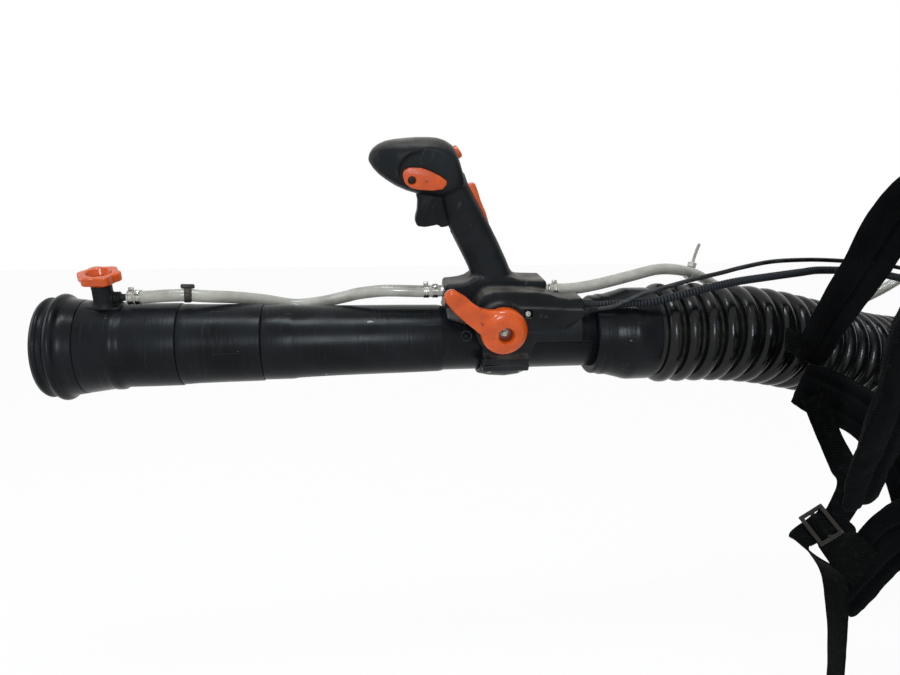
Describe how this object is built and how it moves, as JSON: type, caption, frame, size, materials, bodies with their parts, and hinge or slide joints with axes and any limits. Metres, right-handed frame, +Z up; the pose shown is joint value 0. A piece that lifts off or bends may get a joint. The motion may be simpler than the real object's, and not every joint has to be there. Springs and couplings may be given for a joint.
{
  "type": "backpack leaf blower",
  "caption": "Backpack blower with liquid tank: engine and fan on a carrying frame with harness, ribbed hose, blow tube with pistol grip, spray valve and flared nozzle.",
  "frame": {"origin": "on the floor under the middle of the base's front cross bar, below the fan", "axes": "-X is forward, the way the blow tube points; +Y is the wearer's right; +Z is up"},
  "size_m": [1.312, 0.447, 0.7143],
  "materials": {
    "black_housing": "moulded, fine grain",
    "black_tube": "satin black, lightly scuffed",
    "black_handle": "fine-textured black",
    "grey_plastic": "glass-filled moulding",
    "orange_plastic": "glossy orange moulding",
    "hose_rubber": "satin black rubber",
    "conduit_steel": "spring wrap, blackened",
    "cast_aluminium": "die-cast",
    "steel": "zinc plated",
    "plug_boot": "moulded boot",
    "tank_plastic": "translucent polyethylene",
    "clear_hose": "translucent vinyl, slightly yellowed",
    "pad_fabric": "black padded nylon",
    "webbing": "woven strap",
    "buckle_plastic": "moulded buckle",
    "starter_cord": "braided cord"
  },
  "bodies": {
    "machine": {"back_plate": "black_housing", "back_pad": "pad_fabric", "base_frame": "black_housing", "av_mounts": "hose_rubber", "fan_housing_front": "black_housing", "fan_housing_rear": "black_housing", "crankcase": "cast_aluminium", "crank_bearings": "steel", "cylinder": "cast_aluminium", "piston": "cast_aluminium", "engine_cover": "orange_plastic", "muffler": "steel", "carburetor": "cast_aluminium", "air_filter_cover": "black_housing", "spark_plug": "plug_boot", "starter_housing": "black_housing", "fuel_tank": "tank_plastic", "tank_shelf": "black_housing", "liquid_tank": "tank_plastic", "elbow": "black_housing", "shoulder_pad_left": "pad_fabric", "shoulder_pad_right": "pad_fabric", "hip_belt": "pad_fabric", "webbing": "webbing", "buckles": "buckle_plastic", "housing_screws": "steel"},
    "rotor": {"fan_wheel": "grey_plastic", "crankshaft": "steel", "flywheel": "cast_aluminium"},
    "starter_reel": {"starter_reel": "grey_plastic"},
    "starter_grip": {"starter_grip": "black_housing", "starter_rope": "starter_cord"},
    "fuel_cap": {"fuel_cap": "black_housing"},
    "tank_cap": {"tank_cap": "black_housing"},
    "choke_lever": {"choke_lever": "orange_plastic"},
    "hose_middle": {"pleated_hose": "hose_rubber", "throttle_cable": "hose_rubber", "throttle_conduit": "conduit_steel", "liquid_hose_rear": "clear_hose", "cable_tie": "clear_hose"},
    "blow_tube": {"hose_cuff": "black_tube", "main_tube": "black_tube", "extension_tube": "black_tube", "nozzle_body": "black_tube", "nozzle_rim": "black_tube", "spray_insert": "grey_plastic", "handle_left": "black_handle", "handle_right": "black_handle", "handle_saddle": "black_handle", "saddle_clamp": "black_tube", "liquid_hose_front": "clear_hose", "hose_clamps": "steel", "handle_screws": "steel", "metering_valve": "black_tube"},
    "trigger": {"trigger": "black_handle"},
    "trigger_lockout": {"trigger_lockout": "orange_plastic"},
    "setting_lever": {"setting_lever": "orange_plastic"},
    "stop_button": {"stop_button": "orange_plastic"},
    "valve_lever": {"valve_lever": "orange_plastic"},
    "metering_knob": {"metering_knob": "orange_plastic"}
  },
  "joints": [
    {"name": "fan_spin", "type": "hinge", "parent": "machine", "child": "rotor", "pos_m": [0, 0, 0.215], "axis": [1, 0, 0], "continuous": true},
    {"name": "starter_pull", "type": "slide", "parent": "machine", "child": "starter_grip", "axis": [0, -1, 0], "range_m": [0, 0.8], "stiffness_N_per_m": 12, "deforming": ["starter_rope"]},
    {"name": "starter_reel_spin", "type": "hinge", "parent": "machine", "child": "starter_reel", "pos_m": [0.193, 0, 0.215], "axis": [1, 0, 0], "range_deg": [0, 1300]},
    {"name": "fuel_cap_turn", "type": "hinge", "parent": "machine", "child": "fuel_cap", "pos_m": [0.17, -0.088, 0.12], "axis": [0, 0, 1], "range_deg": [0, 540]},
    {"name": "tank_cap_turn", "type": "hinge", "parent": "machine", "child": "tank_cap", "pos_m": [0.012, 0, 0.69], "axis": [0, 0, 1], "range_deg": [0, 540]},
    {"name": "choke_turn", "type": "hinge", "parent": "machine", "child": "choke_lever", "pos_m": [0.14, -0.064, 0.29], "axis": [1, 0, 0], "range_deg": [0, 60]},
    {"name": "tube_swing", "type": "hinge", "parent": "machine", "child": "hose_middle", "pos_m": [-0.185, 0.209, 0.358], "axis": [0, 0, 1], "range_deg": [-35, 10], "stiffness_Nm_per_rad": 12, "deforming": ["pleated_hose", "throttle_cable", "throttle_conduit", "liquid_hose_rear", "cable_tie"]},
    {"name": "tube_tilt", "type": "hinge", "parent": "hose_middle", "child": "blow_tube", "pos_m": [-0.385, 0.171, 0.399], "axis": [0, 1, 0], "range_deg": [-25, 35], "stiffness_Nm_per_rad": 20, "springref_deg": 11.46, "deforming": ["pleated_hose", "throttle_cable", "throttle_conduit", "liquid_hose_rear", "cable_tie"]},
    {"name": "trigger_pull", "type": "hinge", "parent": "blow_tube", "child": "trigger", "pos_m": [-0.706, 0.141, 0.56446], "axis": [0, -0.9848, -0.1736], "range_deg": [0, 13], "stiffness_Nm_per_rad": 0.4},
    {"name": "lockout_press", "type": "hinge", "parent": "blow_tube", "child": "trigger_lockout", "pos_m": [-0.655, 0.15055, 0.5103], "axis": [0, -0.9848, -0.1736], "range_deg": [0, 6], "stiffness_Nm_per_rad": 0.3},
    {"name": "setting_turn", "type": "hinge", "parent": "blow_tube", "child": "setting_lever", "pos_m": [-0.733, 0.11678, 0.55786], "axis": [0, -0.9848, -0.1736], "range_deg": [0, 40]},
    {"name": "stop_press", "type": "slide", "parent": "blow_tube", "child": "stop_button", "axis": [-0.8192, 0.0996, -0.5649], "range_m": [0, 0.0025], "stiffness_N_per_m": 300},
    {"name": "valve_turn", "type": "hinge", "parent": "blow_tube", "child": "valve_lever", "pos_m": [-0.643, 0.12195, 0.41336], "axis": [0, 0.9848, 0.1736], "range_deg": [0, 90]},
    {"name": "metering_turn", "type": "hinge", "parent": "blow_tube", "child": "metering_knob", "pos_m": [-1.024, 0.15346, 0.45768], "axis": [0, -0.2756, 0.9613], "range_deg": [0, 300]}
  ],
  "couplings": [
    {"joint": "starter_reel_spin", "follows": "starter_pull", "rad_per_m": 27.778}
  ]
}
